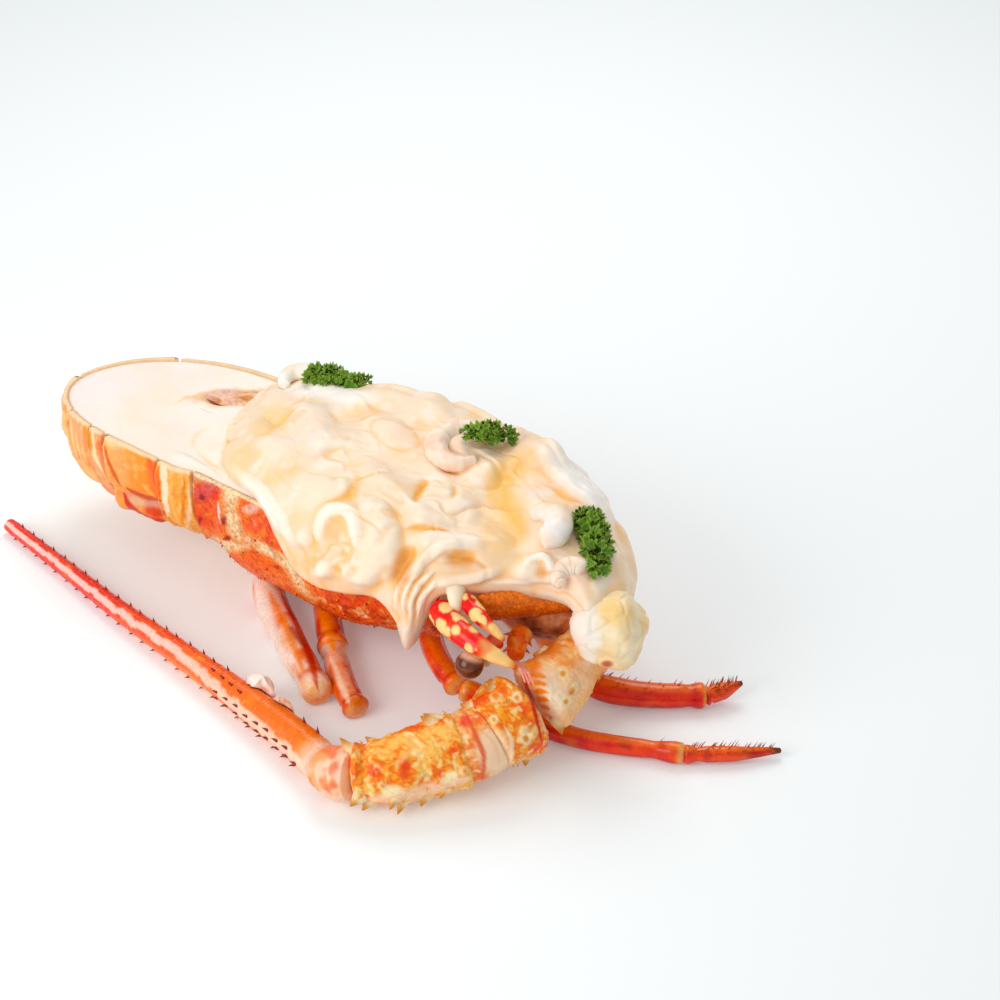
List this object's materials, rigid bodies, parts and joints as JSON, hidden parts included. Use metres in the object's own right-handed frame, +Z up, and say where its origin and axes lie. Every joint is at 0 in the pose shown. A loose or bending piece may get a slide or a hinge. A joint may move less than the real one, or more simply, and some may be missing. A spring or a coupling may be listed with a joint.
{
  "type": "half spiny lobster",
  "caption": "Lengthwise half of a cooked spiny lobster, cut face up, covered in cream sauce with shrimps and parsley, on its bent legs beside a long antenna.",
  "frame": {"origin": "centre of the base of the bounding box, on the table that the legs and antenna rest on", "axes": "+X from the tail to the head, +Y from the animal's back to its belly, +Z up, square to the cut face"},
  "size_m": [0.3476, 0.1694, 0.0939],
  "materials": {
    "lobster_meat": "moist, ivory-white cooked flesh",
    "fold_tissue": "moist, orange-brown",
    "tail_shell": "satin, hooped orange shell",
    "chest_shell": "satin, granular orange-red shell",
    "breast_shell": "satin",
    "head_flesh": "moist, brownish",
    "brow_shell": "satin",
    "horn_shell": "glossy red with cream spots",
    "eye_stalk": "satin",
    "eye_ball": "glossy, dark brown",
    "feeler_shell": "satin",
    "feeler_thread": "satin, pink",
    "antenna_shell": "satin, mottled cream and orange",
    "joint_skin": "smooth, pink",
    "whip_shell": "glossy, ringed",
    "leg_pale_shell": "glossy, whitish pink to orange",
    "leg_red_shell": "glossy, dark red-orange",
    "sauce": "glossy, folded cream sauce",
    "shrimp_flesh": "moist, coated in sauce",
    "white_flesh": "moist, white",
    "parsley_leaf": "matte leaf"
  },
  "bodies": {
    "root": {"meat": "lobster_meat", "fold_tissue": "fold_tissue", "tail_band_1": "tail_shell", "tail_band_2": "tail_shell", "tail_band_3": "tail_shell", "tail_band_4": "tail_shell", "tail_band_5": "tail_shell", "tail_band_6": "tail_shell", "tail_band_7": "tail_shell", "chest_shell": "chest_shell", "breast_plate": "breast_shell", "head_flesh": "head_flesh", "brow_shell": "brow_shell", "horn_long": "horn_shell", "horn_short": "horn_shell", "eye_stalk": "eye_stalk", "eye": "eye_ball", "feeler_base": "feeler_shell", "feeler_threads": "feeler_thread", "antenna_root": "antenna_shell", "antenna_middle": "antenna_shell", "antenna_end": "antenna_shell", "joint_skin": "joint_skin", "whip_knuckle": "joint_skin", "whip": "whip_shell", "skin_scrap_1": "joint_skin", "skin_scrap_2": "joint_skin", "leg_rear_1": "leg_pale_shell", "leg_rear_2": "leg_pale_shell", "leg_third_1": "leg_pale_shell", "leg_third_2": "leg_pale_shell", "leg_third_3": "leg_pale_shell", "leg_second_1": "leg_red_shell", "leg_second_2": "leg_red_shell", "leg_second_3": "leg_red_shell", "leg_second_4": "leg_red_shell", "leg_front_1": "leg_red_shell", "leg_front_2": "leg_red_shell", "leg_front_3": "leg_red_shell", "sauce": "sauce", "shrimp_rear": "shrimp_flesh", "shrimp_middle": "shrimp_flesh", "shrimp_front": "shrimp_flesh", "shrimp_end": "shrimp_flesh", "white_chunk": "white_flesh", "parsley_rear": "parsley_leaf", "parsley_middle": "parsley_leaf", "parsley_front": "parsley_leaf"}
  },
  "joints": []
}
